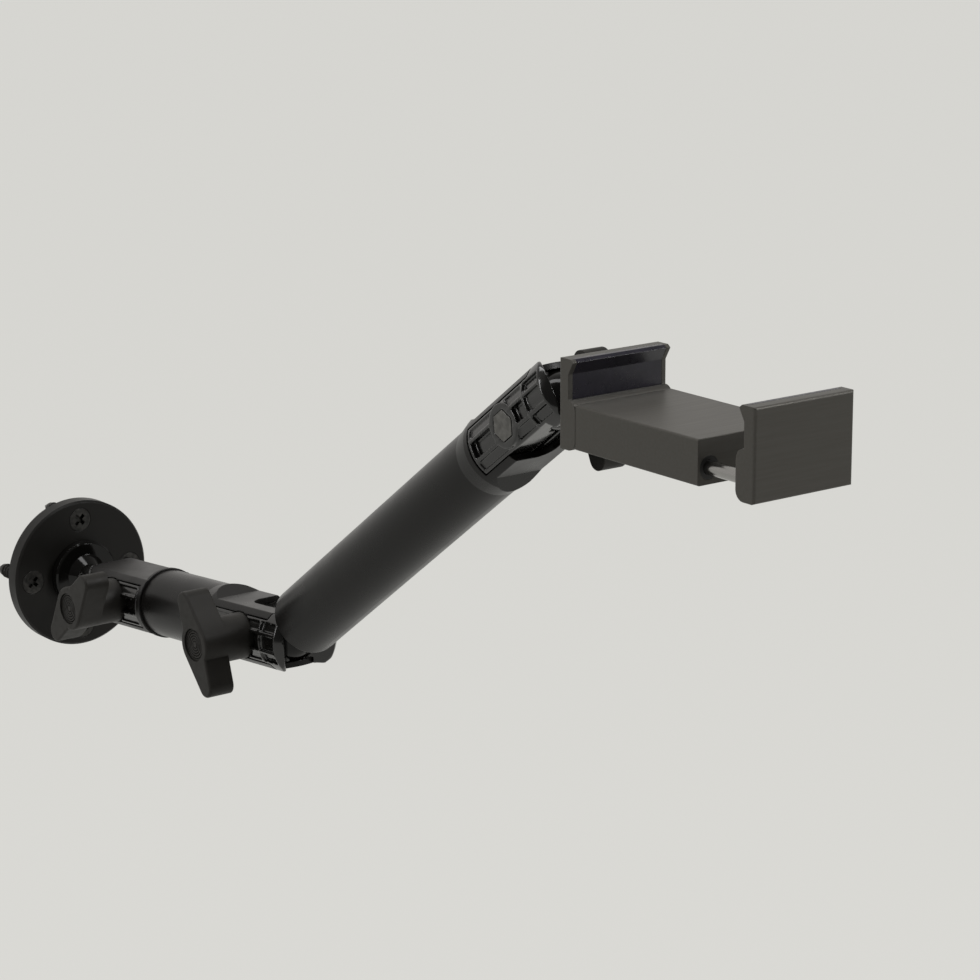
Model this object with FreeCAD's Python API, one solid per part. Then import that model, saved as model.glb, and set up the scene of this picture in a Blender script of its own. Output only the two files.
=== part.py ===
import FreeCAD, Part
import math
import os
from FreeCAD import Placement, Rotation, Vector

# Wall mount: a round wall plate, two tubular arms joined by clamped balls, and a cradle with two padded jaws.
# Millimetres. The origin is the centre of the wall plate's back face. +Z is up, -Y points away from the
# wall, and X runs along the wall. Both arms lie in the plane X = 0.

# Wall plate and its screws
plate_radius = 26.5
plate_thickness = 5.6
plate_chamfer = 0.7
screw_circle_radius = 19.7
screw_count = 4
screw_shank_radius = 2.1
screw_waist_radius = 1.7
screw_thread_start = 0.1
screw_head_radius = 4.2
screw_length = 25.0
screw_point_length = 4.0
screw_hole_radius = 2.4
countersink_clearance = 0.2
cross_length = 4.6
cross_width = 1.3
cross_depth = 1.4

# Balls and studs
ball_radius = 8.5
neck_radius = 3.0
shank_radius = 2.5
running_clearance = 0.05
boss_radius = 12.15
boss_height = 3.6
boss_chamfer = 0.6
boss_cone_length = 6.5
boss_cone_radius = 7.5
face_gap = 0.1
stud_screw_head_radius = 6.0
stud_screw_head_height = 2.4
stud_screw_radius = 1.5
stud_screw_reach = 2.5
stud_screw_hole_reach = 3.0

# Places of the arms
ball_1_reach = 32.7
arm_1_length = 108.0
arm_1_angle = 4.86
arm_2_length = 174.5
arm_2_angle = 36.3

# Arm tubes
tube_radius = 11.5
tube_wall = 2.0
arm_2_end_distance = 12.8

# Clamps at the ends of the arms
clamp_length = 33.5
clamp_radius = 12.4
flat_height = 9.4
window_height = 7.5
root_thickness = 4.0
window_depth = 2.0
bore_floor = 1.0
ball_pocket_clearance = 0.3
rail_overhang = 5.4
rail_end_setback = 5.0
run_out_length = 7.5
neck_blend_length = 6.0
notch_length = 18.0
notch_edge = -3.4
notch_corner_radius = 5.0
edge_round = 0.6
collar_radius = 12.1
collar_width = 1.3
spigot_length = 10.0
spigot_clearance = 0.05

# Clamp jaws
jaw_radius = 11.6
jaw_rib_radius = 12.3
jaw_channel_radius = 10.4
jaw_gap = 1.0
jaw_clearance = 0.3
jaw_rib_height = 3.0
jaw_rib_thickness = 1.2
jaw_lip_thickness = 0.9
jaw_post_thickness = 1.2
neck_slot_clearance = 0.4
neck_slot_depth = 5.0

# The cheeks of the jaws, beyond the ball
cheek_clearance = 0.4
cheek_sphere_radius = 15.6
cheek_mouth_half_width = 5.0
cheek_mouth_reach = 5.0
cheek_tip_half_width = 9.0
cheek_tip_reach = 10.5
cheek_end_half_width = 12.5
cheek_end_reach = 15.3

# Clamp bolts, washers and wing knobs
bolt_distance = 13.0
bolt_radius = 2.5
bolt_hole_radius = 2.8
hex_across_flats = 8.0
hex_clearance = 0.15
bolt_head_thickness = 3.6
nut_boss_radius = 6.6
nut_boss_face = 11.9
nut_boss_length = 4.5
bolt_end = 24.0
seat_face = 9.0
seat_clearance = 0.3
washer_thickness = 0.8
washer_radius = 6.6
hub_radius = 7.6
hub_end = 20.0
knob_face = 28.5
wing_depth = 9.0
wing_tip_radius = 3.4
wing_tip_setback = 1.7
wing_tip_reach = 14.2
wing_side_reach = 5.3
wing_round = 0.8
recess_radius = 5.4
recess_depth = 1.0
insert_length = 9.0
bolt_end_room = 1.0
knob_1_angle = -54.3
knob_2_angle = 13.3
knob_3_angle = 14.0

# Stud in the lower end of the second arm
end_plug_recess = 0.8
end_plug_length = 8.0
stud_nut_across_flats = 10.0
stud_nut_thickness = 4.5

# Cradle, drawn in its own frame: the origin is on the rear jaw's back face, on the axis of the stud
cradle_setback = 22.05
jaw_width = 34.5
jaw_thickness = 7.0
grip_bottom = -7.06
grip_top = 18.34
grip_opening = 71.5
grip_depth = 4.0
grip_floor_bottom = 6.94
grip_floor_top = 14.04
grip_lip_depth = 6.0
grip_lip_chamfer = 1.0
grip_lip_height = 17.54
pad_thickness = 1.4
pad_end_inset = 1.5
pad_clearance = 0.05
grip_corner_round = 0.8
grip_foot_round = 3.0
grip_shelf_round = 2.9
base_front_gap = 14.7
base_side_inset = 0.05
base_top = 6.14
base_bottom = -6.46
base_edge_round = 0.6
rod_radius = 1.95
rod_spacing = 26.6
rod_height = -1.86
rod_inside = 28.0
rod_seat_depth = 5.0
rod_travel_room = 16.0
bush_radius = 3.2
bush_length = 6.0
grub_radius = 1.5
grub_depth = 0.3
grub_socket_depth = 1.1
joining_screw_radius = 1.5
joining_screw_clearance = 0.2
joining_screw_head_radius = 2.8
joining_head_clearance = 0.15
joining_screw_head_height = 2.6
joining_screw_length = 12.0
joining_screw_spacing = 26.6
joining_screw_socket = 2.5
joining_screw_socket_depth = 1.5
stud_3_flange_radius = 8.0
stud_3_flange_thickness = 5.2
stud_3_step_radius = 5.6
stud_3_step_thickness = 4.0
stud_3_shank_length = 16.0

# Values that follow from the ones above
X = Vector(1, 0, 0)
Y = Vector(0, 1, 0)
Z = Vector(0, 0, 1)
CENTRE = Vector(0, 0, 0)
plate_front = -plate_thickness
boss_front = plate_front - boss_height
ball_1 = Vector(0, -ball_1_reach, 0)
tube_bore = tube_radius - tube_wall
window_end = clamp_length - root_thickness + window_depth
jaw_half_height = window_height - jaw_clearance
plug_radius = tube_bore - spigot_clearance
front_face = -(grip_opening + 2 * grip_depth)
front_jaw_inside = front_face + jaw_thickness
base_front = front_jaw_inside + base_front_gap
base_half_width = jaw_width / 2 - base_side_inset
screw_sides = [-joining_screw_spacing / 2, joining_screw_spacing / 2]
far = 60.0
overlap = 1.0


def cylinder(radius, start, end, direction):
    """A round bar between two distances along a direction from the origin."""
    return Part.makeCylinder(radius, end - start, direction * start, direction)


def cone(radius_start, radius_end, start, end, direction):
    """A tapered round bar between two distances along a direction from the origin."""
    return Part.makeCone(radius_start, radius_end, end - start, direction * start, direction)


def block(x0, x1, y0, y1, z0, z1):
    """A rectangular block between two corners."""
    return Part.makeBox(x1 - x0, y1 - y0, z1 - z0, Vector(x0, y0, z0))


def side_prism(points, half_width):
    """A prism with its outline in the YZ plane, reaching the same way to both sides of X = 0."""
    corners = [Vector(-half_width, y, z) for y, z in points]
    outline = Part.makePolygon(corners + corners[:1])
    return Part.Face(outline).extrude(X * 2 * half_width)


def hexagon(across_flats, start, end):
    """A six-sided bar along X, flats up and down."""
    corner = across_flats / math.sqrt(3)
    angles = [math.radians(60 * i) for i in range(6)]
    corners = [Vector(start, corner * math.cos(a), corner * math.sin(a)) for a in angles]
    outline = Part.makePolygon(corners + corners[:1])
    return Part.Face(outline).extrude(X * (end - start))


def placed(shape, placement):
    """A copy of a shape, put in another frame."""
    copy = shape.copy()
    copy.Placement = placement.multiply(copy.Placement)
    return copy


def turned(shape, axis, angle, centre=CENTRE):
    """A copy of a shape, turned about an axis through a point."""
    copy = shape.copy()
    copy.rotate(centre, axis, angle)
    return copy


def shifted(shape, offset):
    """A copy of a shape, moved."""
    copy = shape.copy()
    copy.translate(offset)
    return copy


def near(value, target):
    """True where two lengths are the same."""
    return abs(value - target) < 0.01


def circles(shape, low, high):
    """The round edges of a shape whose centres lie between two values of Y."""
    found = [e for e in shape.Edges if e.Curve.TypeId == "Part::GeomCircle"]
    return [e for e in found if low < e.CenterOfMass.y < high]


def save(name, shape):
    """Writes one piece, and prints its solids and volume."""
    shape = shape.removeSplitter() if len(shape.Solids) == 1 else shape
    solids = shape.Solids
    good = all(s.isValid() and s.isClosed() for s in solids)
    print(name, "solids", len(solids), "volume", round(shape.Volume, 1), "good", good)
    result = solids[0] if len(solids) == 1 else Part.makeCompound(solids)
    result.exportStep("parts/" + name + ".step")


def arm_placement(ball, angle):
    """From an arm's own frame to the part's. An arm starts at its wall-side ball and runs along -Y."""
    return Placement(ball, Rotation(X, -angle))


def arm_end(ball, length, angle):
    """The centre of the ball at the far end of an arm."""
    rise = math.radians(angle)
    return ball + Vector(0, -math.cos(rise), math.sin(rise)) * length


ball_2 = arm_end(ball_1, arm_1_length, arm_1_angle)
ball_3 = arm_end(ball_2, arm_2_length, arm_2_angle)
arm_1_place = arm_placement(ball_1, arm_1_angle)
arm_2_place = arm_placement(ball_2, arm_2_angle)
cradle_origin = Vector(0, ball_3.y - cradle_setback, ball_3.z)

# A clamp is drawn with its ball at the origin, its tube towards +Y, its knob towards -X and the notch for
# the ball's neck on top. The wall-side clamp of the first arm is turned about X, and the clamp of the
# second arm is rolled about its tube, so that its knob is on the other side.
clamp_1_place = arm_1_place.multiply(Placement(CENTRE, Rotation(X, 180)))
clamp_2_place = arm_1_place.multiply(Placement(Vector(0, -arm_1_length, 0), Rotation(X, 0)))
clamp_3_place = arm_2_place.multiply(Placement(Vector(0, -arm_2_length, 0), Rotation(Y, 180)))
clamp_places = {1: clamp_1_place, 2: clamp_2_place, 3: clamp_3_place}
knob_angles = {1: knob_1_angle, 2: knob_2_angle, 3: knob_3_angle}


def screw_circle(shape):
    """Copies of a shape round the plate's screw circle, the first one at the top."""
    first = shifted(shape, Z * screw_circle_radius)
    return [turned(first, Y, 360.0 / screw_count * i) for i in range(screw_count)]


def wall_plate():
    """A turned disc with a chamfered rim, four countersunk holes and a central hole for the first stud."""
    plate = cylinder(plate_radius, 0, plate_thickness, -Y)
    plate = plate.makeChamfer(plate_chamfer, circles(plate, -far, -plate_thickness / 2))
    hole = cylinder(screw_hole_radius, -overlap, plate_thickness + overlap, -Y)
    wide = screw_head_radius + countersink_clearance
    sink = cone(0.01, wide, plate_thickness - wide, plate_thickness + 0.01, -Y)
    for tool in screw_circle(hole.fuse(sink)):
        plate = plate.cut(tool)
    plate = plate.cut(cylinder(shank_radius + running_clearance, -overlap, plate_thickness + overlap, -Y))
    head_room = stud_screw_head_radius + running_clearance
    return plate.cut(cylinder(head_room, -overlap, stud_screw_head_height + 2 * face_gap, -Y))


def wall_screw():
    """A countersunk wood screw with a cross recess, its head flush with the plate's front face."""
    head = cone(0.01, screw_head_radius, plate_thickness - screw_head_radius, plate_thickness, -Y)
    core_end = screw_length - plate_thickness - screw_point_length
    waist = cylinder(screw_waist_radius, -core_end, plate_thickness - overlap, -Y)
    thread = cylinder(screw_shank_radius, -core_end, -screw_thread_start, -Y)
    point = cone(0.2, screw_shank_radius, -core_end - screw_point_length, -core_end, -Y)
    screw = head.fuse([waist, thread, point])
    half = cross_length / 2
    floor = plate_front + cross_depth
    slot = block(-half, half, plate_front - overlap, floor, -cross_width / 2, cross_width / 2)
    for angle in (45, 135):
        screw = screw.cut(turned(slot, Y, angle))
    return screw


def ball_stud_1():
    """The turned stud on the wall plate: a round boss, a cone, a neck and the ball, with a shank behind."""
    boss = cylinder(boss_radius, plate_thickness + face_gap, -boss_front, -Y)
    boss = boss.makeChamfer(boss_chamfer, circles(boss, -far, boss_front + face_gap))
    taper_end = -boss_front + boss_cone_length
    taper = cone(boss_cone_radius, neck_radius, -boss_front, taper_end, -Y)
    ball = Part.makeSphere(ball_radius, ball_1)
    neck = cylinder(neck_radius, -boss_front, ball_1_reach - ball_radius / 2, -Y)
    shank_start = stud_screw_head_height + 2 * face_gap
    shank = cylinder(shank_radius, shank_start, plate_thickness + overlap, -Y)
    stud = boss.fuse([taper, neck, ball, shank])
    hole_end = plate_thickness + stud_screw_hole_reach
    return stud.cut(cylinder(stud_screw_radius, shank_start - overlap, hole_end, -Y))


def stud_screw_1():
    """The flat-headed screw behind the plate that holds the first stud."""
    head = cylinder(stud_screw_head_radius, face_gap, stud_screw_head_height + face_gap, -Y)
    thread_radius = stud_screw_radius - running_clearance
    thread = cylinder(thread_radius, face_gap + overlap, plate_thickness + stud_screw_reach, -Y)
    return head.fuse(thread)


def clamp_section(start, end):
    """A round bar along Y with flats on top and bottom, its long edges rounded."""
    bar = cylinder(clamp_radius, start, end, Y)
    bar = bar.common(block(-far, far, start - overlap, end + overlap, -flat_height, flat_height))
    corners = [e for e in bar.Edges if near(abs(e.CenterOfMass.z), flat_height)]
    corners = [e for e in corners if near(e.Length, end - start)]
    return bar.makeFillet(edge_round, corners)


def rail_end_tool(top):
    """What is cut from a rail beyond the ball: all that lies outside a curved end."""
    side = clamp_radius + overlap
    arc = Part.Arc(
        Vector(-side, rail_end_setback - rail_overhang, 0),
        Vector(0, -rail_overhang, 0),
        Vector(side, rail_end_setback - rail_overhang, 0),
    ).toShape()
    outer = Part.makePolygon(
        [
            Vector(side, rail_end_setback - rail_overhang, 0),
            Vector(side, -far, 0),
            Vector(-side, -far, 0),
            Vector(-side, rail_end_setback - rail_overhang, 0),
        ]
    )
    return Part.Face(Part.Wire([arc] + outer.Edges)).extrude(Z * top)


def notch_tool():
    """The notch in the top rail that lets the ball's neck swing up. It is open on the nut side."""
    notch = block(notch_edge, far, -far, notch_length, window_height - overlap, far)
    corner = [e for e in notch.Edges if near(e.CenterOfMass.x, notch_edge)]
    corner = [e for e in corner if near(e.CenterOfMass.y, notch_length)]
    return notch.makeFillet(notch_corner_radius, corner)


def clamp_rails(run_out):
    """The end of an arm: a root, and a top and a bottom rail that reach past the ball."""
    start = -rail_overhang - overlap
    rails = clamp_section(start, clamp_length + (neck_blend_length if run_out else 0))
    if run_out:
        blend = cone(clamp_radius, tube_radius, clamp_length, clamp_length + neck_blend_length, Y)
        rails = rails.common(cylinder(clamp_radius, start, clamp_length, Y).fuse(blend))
        slope = [
            (clamp_length - root_thickness, flat_height),
            (clamp_length - root_thickness + run_out_length, clamp_radius),
            (clamp_length + neck_blend_length, clamp_radius),
            (clamp_length + neck_blend_length, 0),
            (clamp_length - root_thickness, 0),
        ]
        ramp = side_prism(slope, clamp_radius)
        ramp = ramp.fuse(side_prism([(y, -z) for y, z in slope], clamp_radius))
        root = cylinder(clamp_radius, clamp_length - root_thickness, clamp_length, Y)
        rails = rails.fuse(ramp.common(root.fuse(blend)))
    window = block(-far, far, -far, window_end, -window_height, window_height)
    end_cut = rail_end_tool(far)
    end_cut = end_cut.fuse(end_cut.mirror(CENTRE, Z))
    relief_start = seat_face + washer_thickness - seat_clearance
    relief = shifted(cylinder(hub_radius + seat_clearance, relief_start, far, -X), Y * bolt_distance)
    ball_room = Part.makeSphere(ball_radius + ball_pocket_clearance)
    return rails.cut([window, end_cut, notch_tool(), relief, ball_room])


def arm_1_tube():
    """The first arm: a plain tube, with the rails of the outer clamp formed on its far end."""
    outer_end = arm_1_length - clamp_length
    inner_end = clamp_length + neck_blend_length
    tube = cylinder(tube_radius, inner_end - overlap / 2, outer_end - face_gap, Y)
    arm = tube.fuse(clamp_rails(True))
    return arm.cut(cylinder(tube_bore, clamp_length + bore_floor, outer_end + overlap, Y))


def arm_1_end_fitting():
    """The wall-side end of the first arm: rails, a thin collar, and a spigot inside the tube."""
    collar = cylinder(collar_radius, clamp_length - collar_width, clamp_length, Y)
    spigot = cylinder(plug_radius, clamp_length - overlap, clamp_length + spigot_length, Y)
    return clamp_rails(False).fuse([collar, spigot])


def arm_2_tube():
    """The second arm: a long plain tube with a square-cut lower end and clamp rails at its upper end."""
    outer_end = arm_2_length - arm_2_end_distance
    inner_end = clamp_length + neck_blend_length
    tube = cylinder(tube_radius, inner_end - overlap / 2, outer_end, Y)
    tube = tube.makeFillet(edge_round, circles(tube, outer_end - overlap, outer_end + overlap))
    arm = tube.fuse(clamp_rails(True))
    return arm.cut(cylinder(tube_bore, clamp_length + bore_floor, outer_end + overlap, Y))


def capsule(radius):
    """A round bar along +Y with a ball-shaped end round the origin."""
    return cylinder(radius, 0, window_end - jaw_clearance, Y).fuse(Part.makeSphere(radius))


def band(shape, low, high):
    """The parts of a shape between two heights, above and below the middle."""
    upper = shape.common(block(-far, far, -far, far, low, high))
    return [upper, upper.mirror(CENTRE, Z)]


def cheek():
    """The end of a jaw beyond the ball. It is as high as the rails where it has passed their ends."""
    reach = arm_2_end_distance - cheek_clearance
    form = cylinder(clamp_radius, -far, 0, Y).common(Part.makeSphere(cheek_sphere_radius))
    form = form.common(cylinder(reach, -far, far, X))
    form = form.common(block(-far, far, -far, far, -flat_height, flat_height))
    beyond = shifted(rail_end_tool(far), -Y * jaw_clearance)
    low = block(-far, far, -far, far, -jaw_half_height, jaw_half_height)
    return form.common(low.fuse([beyond, beyond.mirror(CENTRE, Z)]))


def mouth_tool():
    """The V between the two cheeks that leaves the neck its room."""
    side = [
        (cheek_mouth_half_width, -cheek_mouth_reach),
        (cheek_tip_half_width, -cheek_tip_reach),
        (cheek_end_half_width, -cheek_end_reach),
    ]
    corners = [Vector(x, y, -far) for x, y in side] + [Vector(-x, y, -far) for x, y in side[::-1]]
    return Part.Face(Part.makePolygon(corners + corners[:1])).extrude(Z * 2 * far)


def jaw_blank():
    """Half of a cast jaw pair, on the +X side: a shell with ribs, a channel along its middle and a cheek."""
    body = capsule(jaw_radius)
    rib_low = jaw_rib_height - jaw_rib_thickness / 2
    rib_high = jaw_rib_height + jaw_rib_thickness / 2
    channel = capsule(jaw_rib_radius).cut(capsule(jaw_channel_radius))
    channel = channel.common(block(-far, far, -far, far, -rib_low, rib_low))
    body = body.cut(channel)
    ribs = capsule(jaw_rib_radius)
    lip_low = jaw_half_height - jaw_lip_thickness
    added = band(ribs, rib_low, rib_high) + band(ribs, lip_low, jaw_half_height + overlap)
    half = jaw_post_thickness / 2
    for post in (0.0, window_end - jaw_clearance - half):
        strip = block(-far, far, post - half, post + half, -jaw_half_height, jaw_half_height)
        added.append(ribs.common(strip))
    body = body.fuse(added)
    body = body.common(block(-far, far, -far, far, -jaw_half_height, jaw_half_height))
    body = body.fuse(cheek()).common(block(jaw_gap, far, -far, far, -far, far))
    slot = neck_radius + neck_slot_clearance
    neck_room = block(-far, slot, -far, neck_slot_depth, -far, far)
    ball_room = Part.makeSphere(ball_radius + running_clearance)
    return body.cut([ball_room, neck_room, mouth_tool()])


def bolt_hole():
    """The clearance hole for a clamp bolt."""
    return shifted(cylinder(bolt_hole_radius, -far, far, X), Y * bolt_distance)


def knob_jaw():
    """The jaw on the knob's side, with a flat seat for the washer."""
    jaw = jaw_blank().mirror(CENTRE, X)
    seat = shifted(cylinder(hub_radius + seat_clearance, seat_face, far, -X), Y * bolt_distance)
    return jaw.cut([seat, bolt_hole()])


def nut_jaw():
    """The jaw on the other side, with a round boss that holds the bolt's head in a hexagonal pocket."""
    boss = cylinder(nut_boss_radius, nut_boss_face - nut_boss_length, nut_boss_face, X)
    boss = shifted(boss, Y * bolt_distance)
    pocket = hexagon(hex_across_flats + 2 * hex_clearance, nut_boss_face - bolt_head_thickness, far)
    return jaw_blank().fuse(boss).cut([shifted(pocket, Y * bolt_distance), bolt_hole()])


def clamp_bolt():
    """The bolt through both jaws: a hexagonal head on the nut side, the thread towards the knob."""
    head = hexagon(hex_across_flats, nut_boss_face - bolt_head_thickness + face_gap, nut_boss_face)
    thread = cylinder(bolt_radius, -bolt_end, nut_boss_face - overlap, X)
    return shifted(head.fuse(thread), Y * bolt_distance)


def clamp_washer():
    """The plain washer under a wing knob."""
    ring = cylinder(washer_radius, seat_face, seat_face + washer_thickness, -X)
    return shifted(ring.cut(cylinder(bolt_hole_radius, 0, far, -X)), Y * bolt_distance)


def wing_outline():
    """Points of half a wing knob's face outline, each as a width and a length across the hub's centre."""
    tip_distance = math.hypot(wing_tip_setback, wing_tip_reach)
    tip_angle = math.atan2(wing_tip_reach, -wing_tip_setback)
    lean = tip_angle - math.acos((hub_radius - wing_tip_radius) / tip_distance)
    across = math.cos(lean)
    along = math.sin(lean)
    root = (hub_radius * across, hub_radius * along)
    touch = (wing_tip_radius * across - wing_tip_setback, wing_tip_reach + wing_tip_radius * along)
    crown = (-wing_tip_setback, wing_tip_reach + wing_tip_radius)
    straight = (-wing_tip_setback - wing_tip_radius, wing_tip_reach)
    hub_meet = (-wing_side_reach, math.sqrt(hub_radius**2 - wing_side_reach**2))
    middle = (math.atan2(hub_meet[1], hub_meet[0]) + lean + math.pi) / 2
    hub_side = (hub_radius * math.cos(middle), hub_radius * math.sin(middle))
    return root, touch, crown, straight, hub_meet, hub_side


def wing_body():
    """Two blunt wings that run smoothly into a hub, the same when turned by half a turn."""
    edges = []
    for sign in (1, -1):
        half = [Vector(0, -sign * w, sign * v) for w, v in wing_outline()]
        root, touch, crown, straight, hub_meet, hub_side = half
        edges.append(Part.LineSegment(root, touch).toShape())
        edges.append(Part.Arc(touch, crown, straight).toShape())
        edges.append(Part.LineSegment(straight, hub_meet).toShape())
        edges.append(Part.Arc(hub_meet, hub_side, root * -1).toShape())
    face = Part.Face(Part.Wire(Part.__sortEdges__(edges)))
    wings = face.extrude(-X * wing_depth)
    front = [e for e in wings.Edges if near(e.CenterOfMass.x, -wing_depth)]
    return wings.makeFillet(wing_round, front)


def wing_knob(angle):
    """A moulded wing knob: a round hub, two wings, a shallow round recess, and a blind hole for the bolt."""
    wings = shifted(wing_body(), -X * (knob_face - wing_depth))
    hub_start = seat_face + washer_thickness + face_gap
    knob = wings.fuse(cylinder(hub_radius, hub_start, hub_end, -X))
    knob = knob.cut(cylinder(recess_radius, knob_face - recess_depth, knob_face + overlap, -X))
    room_width = hex_across_flats + 2 * running_clearance
    insert_room = hexagon(room_width, -hub_start - insert_length, -hub_start + overlap)
    bolt_room = cylinder(bolt_radius + running_clearance, hub_start, bolt_end + bolt_end_room, -X)
    knob = knob.cut([insert_room, bolt_room])
    return shifted(turned(knob, -X, angle), Y * bolt_distance)


def knob_insert(angle):
    """The threaded brass insert moulded into a wing knob's hub."""
    hub_start = seat_face + washer_thickness + face_gap
    insert = hexagon(hex_across_flats, -hub_start - insert_length + face_gap, -hub_start)
    insert = insert.cut(cylinder(bolt_radius + running_clearance, 0, far, -X))
    return shifted(turned(insert, -X, angle), Y * bolt_distance)


def arm_2_end_plug():
    """The plug in the second arm's lower end, where the stud turns. Drawn in the arm's frame."""
    start = arm_2_end_distance + end_plug_recess
    plug = cylinder(plug_radius, start, start + end_plug_length, -Y)
    return plug.cut(cylinder(shank_radius + running_clearance, 0, far, -Y))


def ball_stud_2():
    """The stud of the elbow: ball, neck, shoulder, and a shank through the plug. In the arm's frame."""
    shoulder = arm_2_end_distance + end_plug_recess - face_gap
    shank_end = arm_2_end_distance + end_plug_recess + end_plug_length + stud_nut_thickness + overlap
    neck = cylinder(neck_radius, ball_radius / 2, shoulder, -Y)
    shank = cylinder(shank_radius, shoulder - overlap, shank_end, -Y)
    return Part.makeSphere(ball_radius).fuse([neck, shank])


def stud_nut_2():
    """The nut inside the second arm that holds the elbow's stud in its plug."""
    start = arm_2_end_distance + end_plug_recess + end_plug_length + face_gap
    nut = hexagon(stud_nut_across_flats, start, start + stud_nut_thickness)
    nut = turned(nut, Z, -90)
    return nut.cut(cylinder(shank_radius, 0, far, -Y))


def ball_stud_3():
    """The stud on the cradle's back: a flange, a step, a neck, the ball, and a shank into the cradle."""
    flange_end = face_gap + stud_3_flange_thickness
    step_end = flange_end + stud_3_step_thickness
    flange = cylinder(stud_3_flange_radius, face_gap, flange_end, Y)
    flange = flange.makeChamfer(boss_chamfer, circles(flange, 0, far))
    step = cylinder(stud_3_step_radius, flange_end - overlap, step_end, Y)
    neck = cylinder(neck_radius, step_end - overlap, cradle_setback - ball_radius / 2, Y)
    shank = cylinder(shank_radius, -stud_3_shank_length, face_gap + overlap, Y)
    ball = Part.makeSphere(ball_radius, Y * cradle_setback)
    return flange.fuse([step, neck, shank, ball])


def grip_outline(depth_offset):
    """Points of a cradle jaw's gripping side, from its top edge down, as depth from the back and height."""
    return [
        (grip_lip_depth - grip_lip_chamfer - depth_offset, grip_top),
        (grip_lip_depth - depth_offset, grip_lip_height),
        (grip_depth - depth_offset, grip_floor_top),
        (grip_depth - depth_offset, grip_floor_bottom),
    ]


def cradle_jaw_blank():
    """A cradle jaw as an extruded bar, with its back face at Y = 0 and its grip towards +Y."""
    foot = [(jaw_thickness, grip_floor_bottom), (jaw_thickness, grip_bottom)]
    bar = side_prism([(0, grip_bottom), (0, grip_top)] + grip_outline(0) + foot, jaw_width / 2)
    inside = [e for e in bar.Edges if near(e.CenterOfMass.y, jaw_thickness)]
    bar = bar.makeFillet(grip_foot_round, [e for e in inside if near(e.CenterOfMass.z, grip_bottom)])
    inside = [e for e in bar.Edges if near(e.CenterOfMass.y, jaw_thickness)]
    bar = bar.makeFillet(grip_shelf_round, [e for e in inside if near(e.CenterOfMass.z, grip_floor_bottom)])
    back = [e for e in bar.Edges if near(e.CenterOfMass.y, 0)]
    return bar.makeFillet(grip_corner_round, back)


def cradle_pad_blank(clearance):
    """The rubber pad in a cradle jaw's grip, in the jaw's own frame."""
    outline = grip_outline(0) + grip_outline(pad_thickness)[::-1]
    return side_prism(outline, jaw_width / 2 - pad_end_inset + clearance)


def front_frame(shape):
    """Puts a cradle jaw's own frame at the front of the cradle, gripping towards the wall."""
    return shifted(shape, Y * front_face)


def rear_frame(shape):
    """Puts a cradle jaw's own frame at the back of the cradle, gripping away from the wall."""
    return turned(shape, Z, 180)


def rod_places():
    """The places of the two guide rods, beside the middle."""
    return [Vector(side * rod_spacing / 2, 0, rod_height) for side in (-1, 1)]


def front_jaw():
    """The sliding jaw, with blind holes for the rods and threaded holes for their grub screws."""
    jaw = front_frame(cradle_jaw_blank().cut(cradle_pad_blank(pad_clearance)))
    for place in rod_places():
        hole = cylinder(rod_radius, front_jaw_inside - rod_seat_depth, front_jaw_inside + overlap, Y)
        grub = cylinder(grub_radius, grip_bottom - overlap, rod_height, Z)
        grub_place = Vector(place.x, front_jaw_inside - rod_seat_depth / 2, 0)
        jaw = jaw.cut([shifted(hole, place), shifted(grub, grub_place)])
    return jaw


def rear_jaw():
    """The fixed jaw, screwed to the base from behind. The cradle's stud passes through it."""
    jaw = rear_frame(cradle_jaw_blank().cut(cradle_pad_blank(pad_clearance)))
    through = cylinder(joining_screw_radius + joining_screw_clearance, -far, overlap, Y)
    head_floor = -joining_screw_head_height - joining_screw_clearance
    head = cylinder(joining_screw_head_radius + joining_head_clearance, head_floor, overlap, Y)
    for side in screw_sides:
        jaw = jaw.cut(shifted(through.fuse(head), X * side))
    return jaw.cut(cylinder(shank_radius + running_clearance, -far, overlap, Y))


def cradle_base():
    """The solid block between the jaws, bored for the rods from the front and for the stud behind."""
    back = -jaw_thickness
    base = block(-base_half_width, base_half_width, base_front, back, base_bottom, base_top)
    long_edges = [e for e in base.Edges if near(e.Length, back - base_front)]
    base = base.makeFillet(base_edge_round, long_edges)
    bore_end = base_front + rod_inside + rod_travel_room
    bore = cylinder(rod_radius + running_clearance, base_front - overlap, bore_end, Y)
    bush_room = cylinder(bush_radius, base_front - overlap, base_front + bush_length, Y)
    for place in rod_places():
        base = base.cut([shifted(bore, place), shifted(bush_room, place)])
    stud_hole_end = -stud_3_shank_length - overlap
    base = base.cut(cylinder(shank_radius + running_clearance, stud_hole_end, back + overlap, Y))
    screw_hole = cylinder(joining_screw_radius, -joining_screw_length - overlap, back + overlap, Y)
    for side in screw_sides:
        base = base.cut(shifted(screw_hole, X * side))
    return base


def rod_bush():
    """The plain bush at the mouth of a rod's bore."""
    ring = cylinder(bush_radius, base_front, base_front + bush_length, Y)
    return ring.cut(cylinder(rod_radius + running_clearance, base_front - overlap, 0, Y))


def guide_rod():
    """A bright steel rod, fixed in the front jaw and sliding in the base."""
    return cylinder(rod_radius, front_jaw_inside - rod_seat_depth, base_front + rod_inside, Y)


def grub_screw():
    """The small headless screw that locks a rod in the front jaw."""
    bottom = grip_bottom + grub_depth
    screw = cylinder(grub_radius, bottom, rod_height - rod_radius, Z)
    socket = turned(hexagon(grub_radius, -overlap, grub_socket_depth), Y, -90)
    return screw.cut(shifted(socket, Z * bottom))


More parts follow.
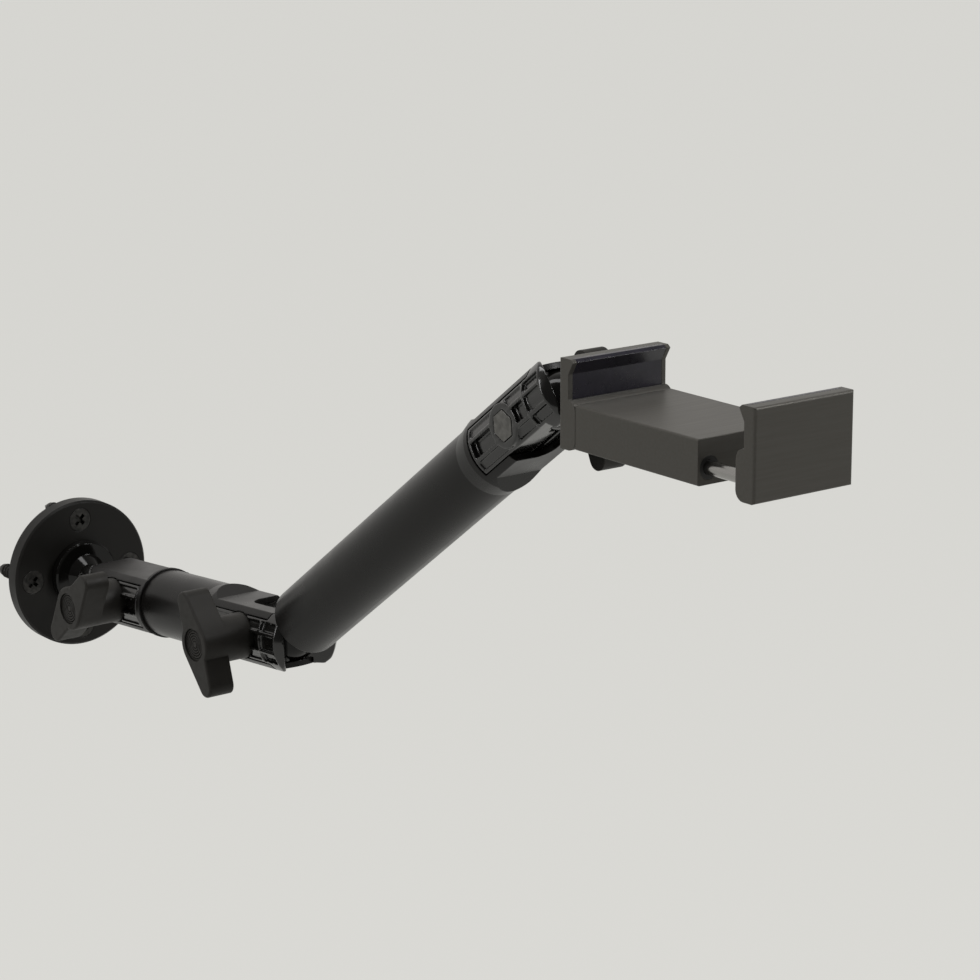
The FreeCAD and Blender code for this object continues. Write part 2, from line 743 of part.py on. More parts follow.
def joining_screw():
    """A socket-headed screw that joins the rear jaw to the base."""
    head_back = -joining_screw_clearance
    head = cylinder(joining_screw_head_radius, head_back - joining_screw_head_height, head_back, Y)
    thread = cylinder(joining_screw_radius, -joining_screw_length, head_back - overlap, Y)
    socket = turned(hexagon(joining_screw_socket, -joining_screw_socket_depth, overlap), Z, 90)
    return head.fuse(thread).cut(shifted(socket, Y * head_back))


def in_pairs(shape, places):
    """Copies of a shape at several places, as one group of separate solids."""
    return Part.makeCompound([shifted(shape, place) for place in places])


def main():
    """Builds every piece and writes it."""
    os.makedirs("parts", exist_ok=True)
    save("wall_plate", wall_plate())
    save("wall_screws", Part.makeCompound(screw_circle(wall_screw())))
    save("ball_stud_1", ball_stud_1())
    save("stud_screw_1", stud_screw_1())
    save("arm_1_tube", placed(arm_1_tube(), clamp_2_place))
    save("arm_1_end_fitting", placed(arm_1_end_fitting(), clamp_1_place))
    save("arm_2_tube", placed(arm_2_tube(), clamp_3_place))
    save("arm_2_end_plug", placed(arm_2_end_plug(), arm_2_place))
    save("ball_stud_2", placed(ball_stud_2(), arm_2_place))
    save("stud_nut_2", placed(stud_nut_2(), arm_2_place))
    for number, place in clamp_places.items():
        angle = knob_angles[number]
        save(f"clamp_{number}_knob_jaw", placed(knob_jaw(), place))
        save(f"clamp_{number}_nut_jaw", placed(nut_jaw(), place))
        save(f"clamp_{number}_bolt", placed(clamp_bolt(), place))
        save(f"clamp_{number}_washer", placed(clamp_washer(), place))
        save(f"wing_knob_{number}", placed(wing_knob(angle), place))
        save(f"knob_insert_{number}", placed(knob_insert(angle), place))
    inner_places = [Vector(p.x, front_jaw_inside - rod_seat_depth / 2, 0) for p in rod_places()]
    cradle = {
        "ball_stud_3": ball_stud_3(),
        "cradle_base": cradle_base(),
        "rear_jaw": rear_jaw(),
        "rear_jaw_pad": rear_frame(cradle_pad_blank(0)),
        "front_jaw": front_jaw(),
        "front_jaw_pad": front_frame(cradle_pad_blank(0)),
        "guide_rods": in_pairs(guide_rod(), rod_places()),
        "rod_bushes": in_pairs(rod_bush(), rod_places()),
        "rod_grub_screws": in_pairs(grub_screw(), inner_places),
        "cradle_screws": in_pairs(joining_screw(), [X * side for side in screw_sides]),
    }
    for name, shape in cradle.items():
        save(name, shifted(shape, cradle_origin))


main()
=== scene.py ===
# %% [markdown]
# A wall mount: a round plate, two black arms joined by clamped balls, and a small cradle with two padded
# jaws. The solids come in first and stay where they are. This lesson sets up the camera, the lamps and the
# floor, gives each solid the finish of the real piece, and then adds the fine forms that the solids leave
# out: pockets in the cast jaws, threads on the screws and rings in the knobs.

# %% Load the solids
import math

import bpy
from mathutils import Matrix, Vector


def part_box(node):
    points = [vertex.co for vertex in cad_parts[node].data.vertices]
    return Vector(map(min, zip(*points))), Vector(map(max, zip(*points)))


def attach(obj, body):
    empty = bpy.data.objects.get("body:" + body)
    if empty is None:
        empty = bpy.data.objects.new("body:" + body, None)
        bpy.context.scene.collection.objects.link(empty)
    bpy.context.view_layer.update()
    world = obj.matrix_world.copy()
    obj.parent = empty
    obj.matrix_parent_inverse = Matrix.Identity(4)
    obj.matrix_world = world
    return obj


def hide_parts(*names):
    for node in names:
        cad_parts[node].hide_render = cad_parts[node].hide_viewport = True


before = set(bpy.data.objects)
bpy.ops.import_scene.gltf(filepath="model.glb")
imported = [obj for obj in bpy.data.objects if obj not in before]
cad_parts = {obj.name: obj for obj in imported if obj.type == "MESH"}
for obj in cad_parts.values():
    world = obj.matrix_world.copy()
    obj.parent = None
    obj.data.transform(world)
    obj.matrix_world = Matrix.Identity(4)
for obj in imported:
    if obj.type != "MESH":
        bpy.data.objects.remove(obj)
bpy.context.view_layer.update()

MM = 0.001

# %% [markdown]
# The camera comes before anything else, because every finish is judged from where the photograph was
# taken. A long lens from about a metre away keeps the two arms almost in true proportion. A camera can be
# turned by three angles, but directions are easier to check against a picture: it looks forward, its up is
# given roughly, and its right and its true up follow from these two.

# %% Camera
scene_centre = Vector((0.0, -0.19, 0.05))
view_place = Vector((-0.53305, -0.95358, 0.30600))
view_forward = Vector((0.5844, 0.7727, -0.2480)).normalized()
rough_up = Vector((0.152, 0.195, 0.969))
lens_length = 114.57
sensor_width = 36.0

view_right = view_forward.cross(rough_up).normalized()
view_up = view_right.cross(view_forward)
turn = Matrix((view_right, view_up, -view_forward)).transposed()
camera = bpy.data.objects.new("camera", bpy.data.cameras.new("camera"))
camera.data.lens = lens_length
camera.data.sensor_width = sensor_width
camera.matrix_world = Matrix.Translation(view_place) @ turn.to_4x4()
bpy.context.scene.collection.objects.link(camera)
bpy.context.scene.camera = camera
print("camera to the middle of the mount, in mm:", round((view_place - scene_centre).length / MM))

# %% [markdown]
# A studio for a black object needs large soft lamps, because black paint shows little colour of its own
# and is seen mostly by what it reflects. Small lamps would draw hard points on it. So three rectangles
# stand for softboxes: one to the right of the camera, a long one above, and a long one on the left that
# draws thin bright lines along the tubes.

# %% Lamps
def softbox(name, place, width, height, power):
    """A rectangular lamp that faces the middle of the mount, with sizes in metres and power in watts."""
    data = bpy.data.lights.new(name, "AREA")
    data.shape = "RECTANGLE"
    data.size = width
    data.size_y = height
    data.energy = power
    lamp = bpy.data.objects.new(name, data)
    lamp.location = place
    lamp.rotation_euler = (scene_centre - Vector(place)).to_track_quat("-Z", "Y").to_euler()
    bpy.context.scene.collection.objects.link(lamp)
    return lamp


lamps = [
    softbox("lamp_right", place=(1.0, -1.3, 1.1), width=0.4, height=0.5, power=14.0),
    softbox("lamp_above", place=(-0.1, -0.1, 1.6), width=0.4, height=1.4, power=10.0),
    softbox("lamp_left", place=(-1.6, 0.0, 0.9), width=0.3, height=1.2, power=9.0),
]
print("lamps:", [lamp.name for lamp in lamps])

# %% [markdown]
# Rays of two kinds meet the room. One that comes from the camera or from a reflection shows the room, and
# any other only brings light. The Light Path node tells them apart. This helper is used twice, for the
# world and for the paper on the floor.

# %% Rays that show the room
def shows_room(nodes, links):
    """An output that is 1 for a ray from the camera or from a reflection, and 0 for any other."""
    ray = nodes.new("ShaderNodeLightPath")
    either = nodes.new("ShaderNodeMath")
    either.operation = "MAXIMUM"
    links.new(ray.outputs["Is Camera Ray"], either.inputs[0])
    links.new(ray.outputs["Is Glossy Ray"], either.inputs[1])
    return either.outputs["Value"]


# %% [markdown]
# In black paint the room itself is seen, as a reflection: pale behind the mount, and dim on the camera's
# side. One even world can't be both, and more lamps would put too much light on the object. So the world
# has two strengths. A low, even one lights the object, and one that rises from the front of the room to
# the back is what reflections show. The Standard view then shows a colour about as it is written.

# %% World
fill_strength = 0.16
reflected_front = 0.1
reflected_back = 0.75
front_end = -0.2
back_end = 0.7
room_colour = (1.0, 0.975, 0.94)

world = bpy.data.worlds.new("studio")
world.use_nodes = True
bpy.context.scene.world = world
world_nodes = world.node_tree.nodes
world_links = world.node_tree.links
background = world_nodes["Background"]
background.inputs["Color"].default_value = (*room_colour, 1.0)
direction = world_nodes.new("ShaderNodeSeparateXYZ")
world_links.new(world_nodes.new("ShaderNodeTexCoord").outputs["Generated"], direction.inputs["Vector"])
room = world_nodes.new("ShaderNodeMapRange")
room.inputs["From Min"].default_value = front_end
room.inputs["From Max"].default_value = back_end
room.inputs["To Min"].default_value = reflected_front
room.inputs["To Max"].default_value = reflected_back
world_links.new(direction.outputs["Y"], room.inputs["Value"])
strength = world_nodes.new("ShaderNodeMix")
strength.inputs["A"].default_value = fill_strength
world_links.new(shows_room(world_nodes, world_links), strength.inputs["Factor"])
world_links.new(room.outputs["Result"], strength.inputs["B"])
world_links.new(strength.outputs["Result"], background.inputs["Strength"])
bpy.context.scene.view_settings.view_transform = "Standard"
print("strength of the room in reflections:", reflected_front, "to", reflected_back)

# %% [markdown]
# The floor is a pale plain surface some way below the mount, low enough for the arm to hang straight down.
# A bent backdrop would do as well, but one flat plane is enough where it fills the view to its edges.

# %% Floor
floor_height = -0.45
floor_half_width = 30.0

bpy.ops.object.select_all(action="DESELECT")
bpy.ops.mesh.primitive_plane_add(size=2 * floor_half_width, location=(0, 0, floor_height))
floor = bpy.context.object
floor.name = "floor"
print("floor height in mm:", round(floor_height / MM))

# %% [markdown]
# Every finish starts the same way: one shader with its colour, roughness and shine, and the object
# coordinates, which stay with the piece when it moves. Painted pictures would need files and would blur up
# close, so all patterns here are computed. No real edge is perfectly sharp, so most finishes also round
# the light off within a small distance of an edge.

# %% Start of a finish
finishes = {}
edge_samples = 4


class Finish:
    """A material under construction: its nodes, its shader and the object coordinates."""

    def __init__(self, name, colour, roughness, metallic=0.0, shine=0.5, edge=0.0):
        self.material = bpy.data.materials.new(name)
        self.material.use_nodes = True
        self.nodes = self.material.node_tree.nodes
        self.links = self.material.node_tree.links
        self.shader = self.nodes["Principled BSDF"]
        self.shader.inputs["Base Color"].default_value = (*colour, 1.0)
        self.shader.inputs["Roughness"].default_value = roughness
        self.shader.inputs["Metallic"].default_value = metallic
        self.shader.inputs["Specular IOR Level"].default_value = shine
        self.coordinates = self.nodes.new("ShaderNodeTexCoord").outputs["Object"]
        self.rounded = None
        if edge > 0.0:
            bevel = self.nodes.new("ShaderNodeBevel")
            bevel.samples = edge_samples
            bevel.inputs["Radius"].default_value = edge
            self.rounded = bevel.outputs["Normal"]
            self.links.new(self.rounded, self.shader.inputs["Normal"])
        finishes[name] = self.material


# %% [markdown]
# Up close, paint, cast metal and plastic show a fine random speckle, and brushed metal shows the same noise
# drawn out along one direction. Both come from one noise texture, on coordinates that can be stretched.

# %% Speckle
def stretched(finish, scale):
    """The object coordinates, scaled by a factor along each direction."""
    mapping = finish.nodes.new("ShaderNodeMapping")
    mapping.inputs["Scale"].default_value = scale
    finish.links.new(finish.coordinates, mapping.inputs["Vector"])
    return mapping.outputs["Vector"]


def speckle(finish, size, detail=2.0, coordinates=None):
    """Soft random noise, from 0 to 1, with spots of about a size."""
    noise = finish.nodes.new("ShaderNodeTexNoise")
    noise.inputs["Scale"].default_value = 1.0 / size
    noise.inputs["Detail"].default_value = detail
    finish.links.new(coordinates or finish.coordinates, noise.inputs["Vector"])
    return noise.outputs["Fac"]


# %% [markdown]
# A speckle can change three things: the colour, the roughness and, by a hundredth of a millimetre at most,
# the height of the surface. Noise seldom leaves the middle of its range, so only that middle is spread
# over the whole change.

# %% What a speckle changes
noise_low = 0.3
noise_high = 0.7


def vary_colour(finish, factor, dark, light):
    """The colour goes from dark to light with a factor."""
    ramp = finish.nodes.new("ShaderNodeValToRGB")
    low_end, high_end = ramp.color_ramp.elements
    low_end.position = noise_low
    low_end.color = (*dark, 1.0)
    high_end.position = noise_high
    high_end.color = (*light, 1.0)
    finish.links.new(factor, ramp.inputs["Fac"])
    finish.links.new(ramp.outputs["Color"], finish.shader.inputs["Base Color"])


def vary_roughness(finish, factor, smooth, rough):
    """The roughness goes from smooth to rough with a factor."""
    reach = finish.nodes.new("ShaderNodeMapRange")
    reach.inputs["From Min"].default_value = noise_low
    reach.inputs["From Max"].default_value = noise_high
    reach.inputs["To Min"].default_value = smooth
    reach.inputs["To Max"].default_value = rough
    finish.links.new(factor, reach.inputs["Value"])
    finish.links.new(reach.outputs["Result"], finish.shader.inputs["Roughness"])


def raise_bumps(finish, factor, height):
    """Tiny hills of a height where a factor is high."""
    bumps = finish.nodes.new("ShaderNodeBump")
    bumps.inputs["Distance"].default_value = height
    finish.links.new(factor, bumps.inputs["Height"])
    if finish.rounded:
        finish.links.new(finish.rounded, bumps.inputs["Normal"])
    finish.links.new(bumps.outputs["Normal"], finish.shader.inputs["Normal"])


# %% [markdown]
# The floor is plain paper: one pale colour with the faintest unevenness. A fully lit floor would need more
# light than suits the object. So a ray that shows the room sees most of the paper as an even pale ground,
# and the rest as paper on which the shadow falls.

# %% Paper for the floor
ground_share = 0.85
ground_colour = (0.775, 0.77, 0.735)

paper = Finish("studio_paper", colour=(0.5, 0.49, 0.47), roughness=0.9, shine=0.1)
vary_colour(paper, speckle(paper, 800 * MM), dark=(0.49, 0.48, 0.46), light=(0.51, 0.5, 0.48))
ground = paper.nodes.new("ShaderNodeEmission")
ground.inputs["Color"].default_value = (*ground_colour, 1.0)
share = paper.nodes.new("ShaderNodeMath")
share.operation = "MULTIPLY"
share.inputs[1].default_value = ground_share
paper.links.new(shows_room(paper.nodes, paper.links), share.inputs[0])
mix = paper.nodes.new("ShaderNodeMixShader")
paper.links.new(share.outputs["Value"], mix.inputs["Fac"])
paper.links.new(paper.shader.outputs["BSDF"], mix.inputs[1])
paper.links.new(ground.outputs["Emission"], mix.inputs[2])
paper.links.new(mix.outputs["Shader"], paper.nodes["Material Output"].inputs["Surface"])
floor.data.materials.append(paper.material)
print("floor finish:", floor.data.materials[0].name)

# %% [markdown]
# The plate, the arms and the end fitting are coated black, but not alike. The plate has a satin powder coat
# with a fine orange-peel texture. The tubes are smoother. The fitting is as rough as the plate but a little
# shinier, so its flat reads as a soft grey. Black paint looks right when its colour is almost nothing and
# its shine is low.

# %% Satin black coatings
powder_coat = Finish("powder_coat", colour=(0.0085, 0.008, 0.007), roughness=0.42, shine=0.2, edge=0.4 * MM)
vary_roughness(powder_coat, speckle(powder_coat, 6 * MM), smooth=0.38, rough=0.46)
raise_bumps(powder_coat, speckle(powder_coat, 0.9 * MM, detail=3.0), height=0.01 * MM)

tube_coat = Finish("tube_coat", colour=(0.0065, 0.006, 0.0055), roughness=0.3, shine=0.2, edge=0.4 * MM)
vary_roughness(tube_coat, speckle(tube_coat, 9 * MM), smooth=0.26, rough=0.32)
raise_bumps(tube_coat, speckle(tube_coat, 1.2 * MM, detail=3.0), height=0.008 * MM)

fitting_coat = Finish(
    "fitting_coat", colour=(0.0055, 0.005, 0.0045), roughness=0.42, shine=0.4, edge=0.6 * MM
)
vary_roughness(fitting_coat, speckle(fitting_coat, 7 * MM), smooth=0.36, rough=0.44)
raise_bumps(fitting_coat, speckle(fitting_coat, 1.2 * MM, detail=3.0), height=0.006 * MM)
print("satin coatings:", [finish.material.name for finish in (powder_coat, tube_coat, fitting_coat)])

# %% [markdown]
# The clamps' jaws are cast and painted a glossy black that shows sharp, slightly wavy reflections. The
# studs with their balls are smoother still. The wall screws are blackened steel, worn a little unevenly.

# %% Glossy black and blackened steel
gloss_cast = Finish("gloss_cast", colour=(0.005, 0.0048, 0.0043), roughness=0.14, shine=0.6)
vary_roughness(gloss_cast, speckle(gloss_cast, 4 * MM), smooth=0.11, rough=0.19)
raise_bumps(gloss_cast, speckle(gloss_cast, 1.6 * MM, detail=3.0), height=0.01 * MM)

stud_gloss = Finish("stud_gloss", colour=(0.004, 0.0038, 0.0034), roughness=0.1, shine=0.25, edge=0.3 * MM)
vary_roughness(stud_gloss, speckle(stud_gloss, 5 * MM), smooth=0.07, rough=0.13)
raise_bumps(stud_gloss, speckle(stud_gloss, 3 * MM), height=0.004 * MM)

screw_steel = Finish(
    "blackened_screw", colour=(0.02, 0.019, 0.018), roughness=0.35, metallic=0.6, edge=0.2 * MM
)
wear = speckle(screw_steel, 1.5 * MM)
vary_colour(screw_steel, wear, dark=(0.012, 0.012, 0.011), light=(0.045, 0.043, 0.04))
vary_roughness(screw_steel, speckle(screw_steel, 0.8 * MM), smooth=0.28, rough=0.45)
print("glossy blacks:", [finish.material.name for finish in (gloss_cast, stud_gloss, screw_steel)])

# %% [markdown]
# The cradle is anodised and faintly brushed. Noise that is stretched along one direction looks like the
# lines that a brush leaves. The guide rods are ground steel, where the same trick puts the lines round them.

# %% Brushed and ground metal
brush_lines = (0.04, 1.0, 1.0)
grinding_lines = (0.05, 1.0, 0.05)

anodised = Finish(
    "anodised", colour=(0.095, 0.091, 0.082), roughness=0.42, metallic=0.3, shine=0.1, edge=0.5 * MM
)
brushing = speckle(anodised, 0.8 * MM, detail=3.0, coordinates=stretched(anodised, brush_lines))
vary_colour(anodised, brushing, dark=(0.09, 0.086, 0.077), light=(0.1, 0.096, 0.087))
vary_roughness(anodised, brushing, smooth=0.38, rough=0.46)
raise_bumps(anodised, brushing, height=0.001 * MM)

ground_rod = Finish("ground_rod", colour=(0.3, 0.295, 0.285), roughness=0.2, metallic=1.0)
grinding = speckle(ground_rod, 0.4 * MM, coordinates=stretched(ground_rod, grinding_lines))
vary_roughness(ground_rod, grinding, smooth=0.14, rough=0.24)
raise_bumps(ground_rod, grinding, height=0.001 * MM)
print("lined metals:", [finish.material.name for finish in (anodised, ground_rod)])

# %% [markdown]
# The bolts, nuts and washers are steel with a dark zinc coat, and the threaded inserts in the knobs are
# turned brass. Small parts like these need no lines, only a slightly uneven colour and roughness.

# %% Zinc and brass
zinc = Finish("black_zinc", colour=(0.12, 0.118, 0.11), roughness=0.34, metallic=1.0, edge=0.3 * MM)
vary_colour(zinc, speckle(zinc, 2 * MM), dark=(0.09, 0.088, 0.084), light=(0.15, 0.147, 0.14))
vary_roughness(zinc, speckle(zinc, 1 * MM), smooth=0.28, rough=0.42)

brass = Finish("turned_brass", colour=(0.6, 0.42, 0.17), roughness=0.28, metallic=1.0, edge=0.2 * MM)
vary_colour(brass, speckle(brass, 2 * MM), dark=(0.5, 0.33, 0.12), light=(0.66, 0.47, 0.2))
vary_roughness(brass, speckle(brass, 0.8 * MM), smooth=0.22, rough=0.36)
print("small metals:", [finish.material.name for finish in (zinc, brass)])

# %% [markdown]
# The wing knobs are moulded in a dark grey plastic with a fine matt grain. The bushes round the rods are a
# smoother black one. The cradle's pads are a soft dark rubber with a slight blue cast and a dull shine.

# %% Plastic and rubber
knob_grain = Finish("moulded_grain", colour=(0.022, 0.021, 0.019), roughness=0.5, shine=0.2, edge=0.4 * MM)
cloudiness = speckle(knob_grain, 4 * MM)
vary_colour(knob_grain, cloudiness, dark=(0.0205, 0.0192, 0.017), light=(0.0235, 0.022, 0.0195))
vary_roughness(knob_grain, speckle(knob_grain, 2 * MM), smooth=0.46, rough=0.56)
raise_bumps(knob_grain, speckle(knob_grain, 0.5 * MM), height=0.01 * MM)

bush_plastic = Finish("bush_plastic", colour=(0.02, 0.02, 0.019), roughness=0.4, shine=0.3, edge=0.2 * MM)
vary_roughness(bush_plastic, speckle(bush_plastic, 1 * MM), smooth=0.36, rough=0.46)

pad_rubber = Finish("soft_rubber", colour=(0.011, 0.010, 0.018), roughness=0.3, shine=0.45, edge=0.3 * MM)
vary_colour(pad_rubber, speckle(pad_rubber, 3 * MM), dark=(0.009, 0.008, 0.015), light=(0.014, 0.012, 0.022))
vary_roughness(pad_rubber, speckle(pad_rubber, 1.5 * MM), smooth=0.26, rough=0.36)
raise_bumps(pad_rubber, speckle(pad_rubber, 0.6 * MM), height=0.006 * MM)
print("soft finishes:", [finish.material.name for finish in (knob_grain, bush_plastic, pad_rubber)])

# %% [markdown]
# Each solid names the surface it wants in its one material slot. The names below say which finish answers
# to which surface, and one loop puts them on. Only the fitting at the wall-side end of the first arm has a
# finish of its own, although its solid asks for the tubes' black.

# %% Put the finishes on
finish_of_slot = {
    "plate_black": "powder_coat",
    "screw_black": "blackened_screw",
    "stud_black": "stud_gloss",
    "cast_black": "gloss_cast",
    "tube_black": "tube_coat",
    "fastener_steel": "black_zinc",
    "rod_steel": "ground_rod",
    "knob_plastic": "moulded_grain",
    "bush_black": "bush_plastic",
    "insert_brass": "turned_brass",
    "cradle_black": "anodised",
    "pad_rubber": "soft_rubber",
}
for name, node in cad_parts.items():
    slot_name = node.data.materials[0].name
    finish_name = "fitting_coat" if name == "arm_1_end_fitting" else finish_of_slot[slot_name]
    node.data.materials[0] = finishes[finish_name]
print("finishes:", sorted(finishes))

# %% [markdown]
# The next forms are made by cutting, merging and copying. These helpers do that. Blender's operators act on
# everything that is selected, so each helper first picks its one shape and nothing else.

# %% Helpers for shaping
def pick(shape):
    """Makes a shape the only selected one, and the active one."""
    bpy.ops.object.select_all(action="DESELECT")
    shape.select_set(True)
    bpy.context.view_layer.objects.active = shape


def apply_modifiers(shape):
    """Makes all modifiers of a shape permanent, in their order."""
    pick(shape)
    for modifier in list(shape.modifiers):
        bpy.ops.object.modifier_apply(modifier=modifier.name)


def cut_with(shape, operation, tool):
    """Combines a shape with a tool by a boolean operation."""
    cut = shape.modifiers.new("cut", "BOOLEAN")
    cut.operation = operation
    cut.solver = "EXACT"
    cut.object = tool
    apply_modifiers(shape)


def close_mesh(shape, merge_distance):
    """Merges points that lie on each other, and turns every face outwards."""
    pick(shape)
    bpy.ops.object.mode_set(mode="EDIT")
    bpy.ops.mesh.select_all(action="SELECT")
    bpy.ops.mesh.remove_doubles(threshold=merge_distance)
    bpy.ops.mesh.normals_make_consistent(inside=False)
    bpy.ops.object.mode_set(mode="OBJECT")


def own_copy(pattern, name):
    """A copy of a shape with a mesh of its own."""
    shape = pattern.copy()
    shape.data = pattern.data.copy()
    shape.name = name
    bpy.context.scene.collection.objects.link(shape)
    return shape


def take_away(shape):
    """Takes a tool or a pattern out of the scene after its use."""
    bpy.data.objects.remove(shape, do_unlink=True)


# %% [markdown]
# The cast jaws end in two cheeks in front of each ball. On the real casting the ribs run on across the
# cheeks, with shallow pockets between them, and on the solids the cheeks are plain. The pockets could be
# inset by hand, but a boolean with one cutter gives all the jaws the same ones. The cutter is drawn round a
# ball at the origin, with its arm along +Y: three flat slabs, hollowed by a rounded core, so that only a
# thin skin of the cheek goes.

# %% Cutter for the pockets
core_radius = 11.3 * MM
core_end_radius = 14.5 * MM
slab_heights = [(-6.3 * MM, -3.6 * MM), (-2.4 * MM, 2.4 * MM), (3.6 * MM, 6.3 * MM)]
slab_start = 0.6 * MM
slab_reach = 8.8 * MM
slab_half_width = 16.0 * MM
core_length = 3 * slab_half_width


def rounded_core():
    """The part of each cheek that stays: a round bar along Y with a ball-shaped end."""
    bpy.ops.object.select_all(action="DESELECT")
    bpy.ops.mesh.primitive_cylinder_add(
        vertices=128, radius=core_radius, depth=core_length, rotation=(math.pi / 2, 0, 0)
    )
    core = bpy.context.object
    bpy.ops.object.transform_apply(location=True, rotation=True, scale=True)
    bpy.ops.mesh.primitive_uv_sphere_add(segments=128, ring_count=64, radius=core_end_radius)
    rounded_end = bpy.context.object
    cut_with(core, "INTERSECT", rounded_end)
    take_away(rounded_end)
    return core


def hollowed_slab(low, high, core):
    """A flat slab in front of the ball, from a low to a high level, without the core."""
    centre = (0, -(slab_start + slab_reach) / 2, (low + high) / 2)
    bpy.ops.mesh.primitive_cube_add(size=1, location=centre)
    slab = bpy.context.object
    slab.scale = (2 * slab_half_width, slab_reach - slab_start, high - low)
    pick(slab)
    bpy.ops.object.transform_apply(location=True, rotation=True, scale=True)
    cut_with(slab, "DIFFERENCE", core)
    return slab


core = rounded_core()
slabs = [hollowed_slab(low, high, core) for low, high in slab_heights]
take_away(core)
bpy.ops.object.select_all(action="DESELECT")
for slab in slabs:
    slab.select_set(True)
cutter = slabs[0]
bpy.context.view_layer.objects.active = cutter
bpy.ops.object.join()
cutter.name = "pocket_cutter"
print("cutter faces:", len(cutter.data.polygons))

# %% [markdown]
# The three clamps lie at the ends of the arms. Their places could be read off, but they follow from the
# same few sizes as the solids: how far out the first ball is, how long the arms are and how far each is
# tilted. The wall-side clamp is turned over, and the upper one is rolled about its arm.

# %% Places of the clamps
ball_1_reach = 32.7 * MM
arm_1_length = 108.0 * MM
arm_1_angle = math.radians(4.86)
arm_2_length = 174.5 * MM
arm_2_angle = math.radians(36.3)

arm_1_frame = Matrix.Translation((0, -ball_1_reach, 0)) @ Matrix.Rotation(-arm_1_angle, 4, "X")
elbow = arm_1_frame @ Vector((0, -arm_1_length, 0))
arm_2_frame = Matrix.Translation(elbow) @ Matrix.Rotation(-arm_2_angle, 4, "X")
clamp_frames = {
    1: arm_1_frame @ Matrix.Rotation(math.pi, 4, "X"),
    2: arm_1_frame @ Matrix.Translation((0, -arm_1_length, 0)),
    3: arm_2_frame @ Matrix.Translation((0, -arm_2_length, 0)) @ Matrix.Rotation(math.pi, 4, "Y"),
}
body_of_clamp = {1: "first_arm", 2: "first_arm", 3: "second_arm"}
print("elbow in mm:", [round(value / MM, 1) for value in elbow])

# %% [markdown]
# Each of the six jaws is copied, and the copy is merged first, because a solid comes in as loose triangles.
# After the cut it gets the soft edges of a casting. A bevel would stumble over the many small faces, so the
# copy is rebuilt on a fine grid, smoothed a little and thinned out again. The result stands for its solid
# in the picture.

# %% Jaws with pockets
jaw_merge_distance = 0.001 * MM
casting_grid = 0.28 * MM
casting_softness = 5
casting_kept = 0.3


def soften(shape):
    """Gives a shape the rounded edges of a casting."""
    grid = shape.modifiers.new("grid", "REMESH")
    grid.mode = "VOXEL"
    grid.voxel_size = casting_grid
    soft = shape.modifiers.new("soft", "SMOOTH")
    soft.iterations = casting_softness
    thin = shape.modifiers.new("thin", "DECIMATE")
    thin.ratio = casting_kept
    apply_modifiers(shape)
    bpy.ops.object.shade_smooth()


def pocketed_jaw(solid_name, body):
    """A soft-edged copy of a jaw with the pockets cut into its cheeks."""
    jaw = own_copy(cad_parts[solid_name], solid_name + "_cast")
    jaw.parent = None
    jaw.matrix_world = Matrix.Identity(4)
    close_mesh(jaw, jaw_merge_distance)
    cut_with(jaw, "DIFFERENCE", cutter)
    soften(jaw)
    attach(jaw, body)
    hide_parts(solid_name)
    return jaw


for number, clamp_frame in clamp_frames.items():
    cutter.matrix_world = clamp_frame
    bpy.context.view_layer.update()
    for side in ("knob", "nut"):
        jaw = pocketed_jaw(f"clamp_{number}_{side}_jaw", body_of_clamp[number])
        print(jaw.name, "faces:", len(jaw.data.polygons))
take_away(cutter)

# %% [markdown]
# The wall screws have a coarse wood thread, and on the solids they are plain bars. A thread could be a
# bevelled spiral curve, but the Screw modifier does it in one step: a small triangle beside the axis is
# turned round it and lifted by one pitch for each turn.

# %% Thread of a wall screw
thread_pitch = 1.7 * MM
thread_turns = 8
thread_steps = 24
thread_core_radius = 2.1 * MM
thread_size = 0.34 * MM
thread_merge_distance = 0.01 * MM


def wound_thread():
    """A wood screw's thread round the Z axis, from the origin up."""
    bpy.ops.object.select_all(action="DESELECT")
    bpy.ops.mesh.primitive_circle_add(
        vertices=3,
        radius=thread_size,
        location=(thread_core_radius + thread_size / 4, 0, 0),
        rotation=(math.pi / 2, math.pi / 2, 0),
    )
    thread = bpy.context.object
    bpy.ops.object.transform_apply(location=True, rotation=True, scale=True)
    winding = thread.modifiers.new("winding", "SCREW")
    winding.axis = "Z"
    winding.screw_offset = thread_pitch
    winding.iterations = thread_turns
    winding.steps = thread_steps
    winding.render_steps = thread_steps
    apply_modifiers(thread)
    close_mesh(thread, thread_merge_distance)
    thread.data.materials.append(finishes["blackened_screw"])
    return thread


thread_pattern = wound_thread()
print("thread faces:", len(thread_pattern.data.polygons))

# %% [markdown]
# The four screws stand in a circle round the middle of the plate and point away from the arm. Each gets a
# copy of the thread, which is laid along its screw and moves with the plate.

# %% A thread on each wall screw
screw_count = 4
screw_circle_radius = 19.7 * MM
thread_start = 0.4 * MM

for number in range(screw_count):
    angle = number * 2 * math.pi / screw_count
    side = screw_circle_radius * math.sin(angle)
    height = screw_circle_radius * math.cos(angle)
    thread = own_copy(thread_pattern, f"wall_screw_thread_{number + 1}")
    along_screw = Matrix.Rotation(-math.pi / 2, 4, "X")
    thread.data.transform(Matrix.Translation((side, thread_start, height)) @ along_screw)
    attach(thread, "wall")
    print(thread.name, "at, in mm:", round(side / MM, 1), round(height / MM, 1))
take_away(thread_pattern)

# %% [markdown]
# Each wing knob has a shallow round recess. A bare floor would look unfinished there, so it carries plain
# rings. As bumps they would vanish from the side, so they are real: the top of a thin disc is inset again
# and again, and every second strip is sunk.

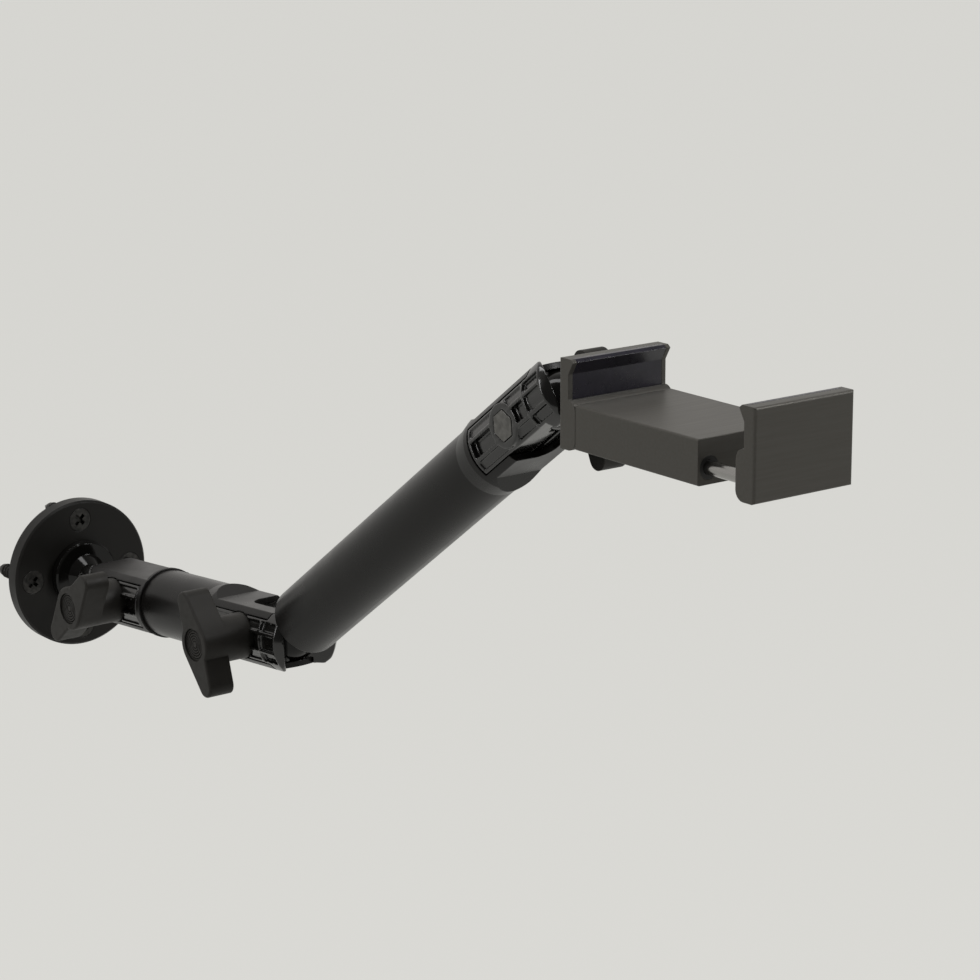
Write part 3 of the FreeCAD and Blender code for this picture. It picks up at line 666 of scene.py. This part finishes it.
# %% Disc with rings
disc_radius = 5.3 * MM
disc_thickness = 0.4 * MM
ring_count = 5
ring_width = 0.5 * MM
groove_width = 0.3 * MM
groove_depth = 0.3 * MM
groove_wall = 0.03 * MM


def ringed_disc():
    """A thin disc round the origin, with rings on its upper side."""
    bpy.ops.object.select_all(action="DESELECT")
    bpy.ops.mesh.primitive_cylinder_add(vertices=72, radius=disc_radius, depth=disc_thickness)
    disc = bpy.context.object
    bpy.ops.object.mode_set(mode="EDIT")
    bpy.ops.mesh.select_mode(type="FACE")
    bpy.ops.mesh.select_all(action="DESELECT")
    bpy.ops.object.mode_set(mode="OBJECT")
    for face in disc.data.polygons:
        face.select = face.normal.z > 0.9
    bpy.ops.object.mode_set(mode="EDIT")
    for _ in range(ring_count):
        bpy.ops.mesh.inset(thickness=ring_width)
        bpy.ops.mesh.inset(thickness=groove_wall)
        bpy.ops.transform.translate(value=(0, 0, -groove_depth))
        bpy.ops.mesh.inset(thickness=groove_width)
        bpy.ops.mesh.inset(thickness=groove_wall)
        bpy.ops.transform.translate(value=(0, 0, groove_depth))
    bpy.ops.object.mode_set(mode="OBJECT")
    disc.data.materials.append(finishes["moulded_grain"])
    return disc


disc_pattern = ringed_disc()
print("disc faces:", len(disc_pattern.data.polygons))

# %% [markdown]
# A copy of the disc is stood up in each knob's recess, facing out, and turns with its knob. The place comes
# from the knob's own box. The first two knobs face -X, and the third faces +X.

# %% A disc in each knob
recess_floor = 0.98 * MM
outward_of_knob = {1: -1, 2: -1, 3: 1}

for number, outward in outward_of_knob.items():
    low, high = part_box(f"wing_knob_{number}")
    face_x = high[0] if outward > 0 else low[0]
    place_x = face_x - outward * (recess_floor - disc_thickness / 2)
    place = (place_x, (low[1] + high[1]) / 2, (low[2] + high[2]) / 2)
    disc = own_copy(disc_pattern, f"knob_rings_{number}")
    disc.data.transform(Matrix.Translation(place) @ Matrix.Rotation(outward * math.pi / 2, 4, "Y"))
    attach(disc, f"knob_{number}")
    print(disc.name, "at, in mm:", [round(value / MM, 1) for value in place])
take_away(disc_pattern)
